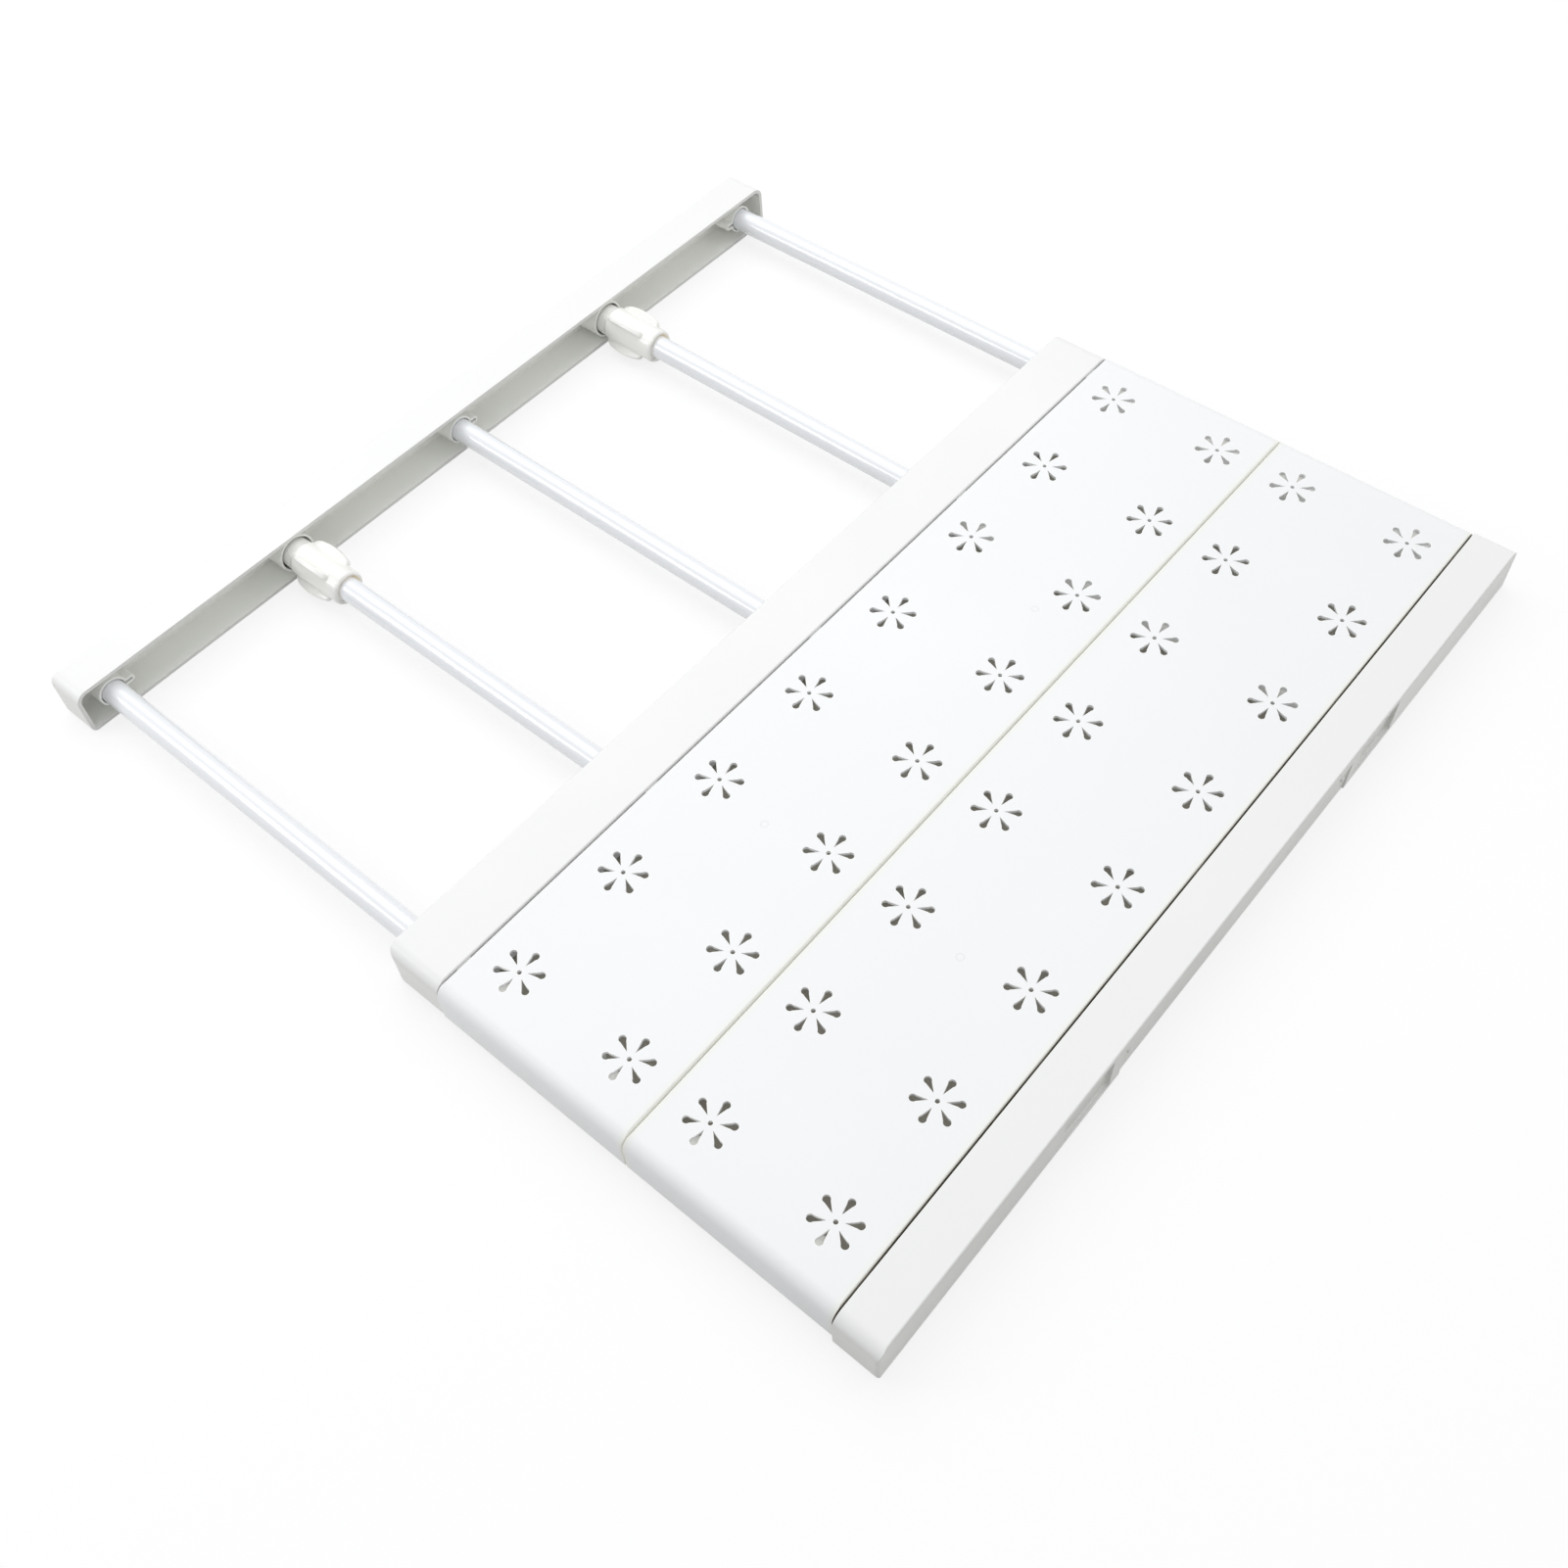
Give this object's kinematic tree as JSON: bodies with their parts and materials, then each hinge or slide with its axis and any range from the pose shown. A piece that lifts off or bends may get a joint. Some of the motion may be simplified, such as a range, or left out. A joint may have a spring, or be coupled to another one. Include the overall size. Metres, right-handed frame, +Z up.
{
  "type": "pull-out wardrobe shelf",
  "caption": "Extending wardrobe shelf: two end rails pressed apart by nuts on telescoping tubes, with clip-on boards pierced with flower cut-outs.",
  "frame": {"origin": "middle of the rectangle that the pulled-out shelf covers, on the surface that its end rails stand on", "axes": "+X along the tubes from the sliding left rail to the right rail, +Y from the near end to the far end along the rails, +Z up out of the shelf top"},
  "size_m": [0.3924, 0.388, 0.02],
  "materials": {
    "board_plastic": "smooth satin moulding",
    "rail_plastic": "satin moulding",
    "nut_plastic": "satin, slightly warm",
    "tube_enamel": "glossy pale enamel",
    "fitting_plastic": "satin",
    "lock_rubber": "matt"
  },
  "bodies": {
    "deck": {"right_rail": "rail_plastic", "middle_rail": "rail_plastic", "board_left": "board_plastic", "board_right": "board_plastic", "outer_tube_1": "tube_enamel", "outer_tube_2": "tube_enamel", "outer_tube_3": "tube_enamel", "outer_tube_4": "tube_enamel", "outer_tube_5": "tube_enamel", "guide_bush_1": "fitting_plastic", "guide_bush_2": "fitting_plastic", "guide_bush_3": "fitting_plastic", "guide_bush_4": "fitting_plastic", "guide_bush_5": "fitting_plastic", "tube_cap_1": "fitting_plastic", "tube_cap_2": "fitting_plastic", "tube_cap_3": "fitting_plastic", "tube_cap_4": "fitting_plastic", "tube_cap_5": "fitting_plastic"},
    "left_end": {"left_rail": "rail_plastic", "glide_tube_1": "tube_enamel", "glide_tube_3": "tube_enamel", "glide_tube_5": "tube_enamel", "tube_foot_1": "fitting_plastic", "tube_foot_3": "fitting_plastic", "tube_foot_5": "fitting_plastic", "glide_plug_1": "fitting_plastic", "glide_plug_3": "fitting_plastic", "glide_plug_5": "fitting_plastic"},
    "screw_far": {"screw_tube_2": "tube_enamel", "threaded_plug_2": "fitting_plastic", "lock_core_2": "fitting_plastic"},
    "nut_far": {"nut_2": "nut_plastic"},
    "ring_far": {"lock_ring_2": "lock_rubber"},
    "screw_near": {"screw_tube_4": "tube_enamel", "threaded_plug_4": "fitting_plastic", "lock_core_4": "fitting_plastic"},
    "nut_near": {"nut_4": "nut_plastic"},
    "ring_near": {"lock_ring_4": "lock_rubber"}
  },
  "joints": [
    {"name": "extension_slide", "type": "slide", "parent": "deck", "child": "left_end", "axis": [-1, 0, 0], "range_m": [-0.137, 0.03]},
    {"name": "screw_slide_far", "type": "slide", "parent": "left_end", "child": "screw_far", "axis": [1, 0, 0], "range_m": [0, 0.008]},
    {"name": "nut_far_spin", "type": "hinge", "parent": "left_end", "child": "nut_far", "pos_m": [-0.165, 0.0898, 0.01], "axis": [1, 0, 0], "range_deg": [-720, 0]},
    {"name": "lock_far_twist", "type": "hinge", "parent": "screw_far", "child": "ring_far", "pos_m": [0.034, 0.0898, 0.0108], "axis": [1, 0, 0], "range_deg": [0, 20]},
    {"name": "screw_slide_near", "type": "slide", "parent": "left_end", "child": "screw_near", "axis": [1, 0, 0], "range_m": [0, 0.008]},
    {"name": "nut_near_spin", "type": "hinge", "parent": "left_end", "child": "nut_near", "pos_m": [-0.165, -0.0898, 0.01], "axis": [1, 0, 0], "range_deg": [-720, 0]},
    {"name": "lock_near_twist", "type": "hinge", "parent": "screw_near", "child": "ring_near", "pos_m": [0.034, -0.0898, 0.0108], "axis": [1, 0, 0], "range_deg": [0, 20]}
  ],
  "couplings": [
    {"joint": "nut_far_spin", "follows": "screw_slide_far", "rad_per_m": -1570},
    {"joint": "nut_near_spin", "follows": "screw_slide_near", "rad_per_m": -1570}
  ]
}
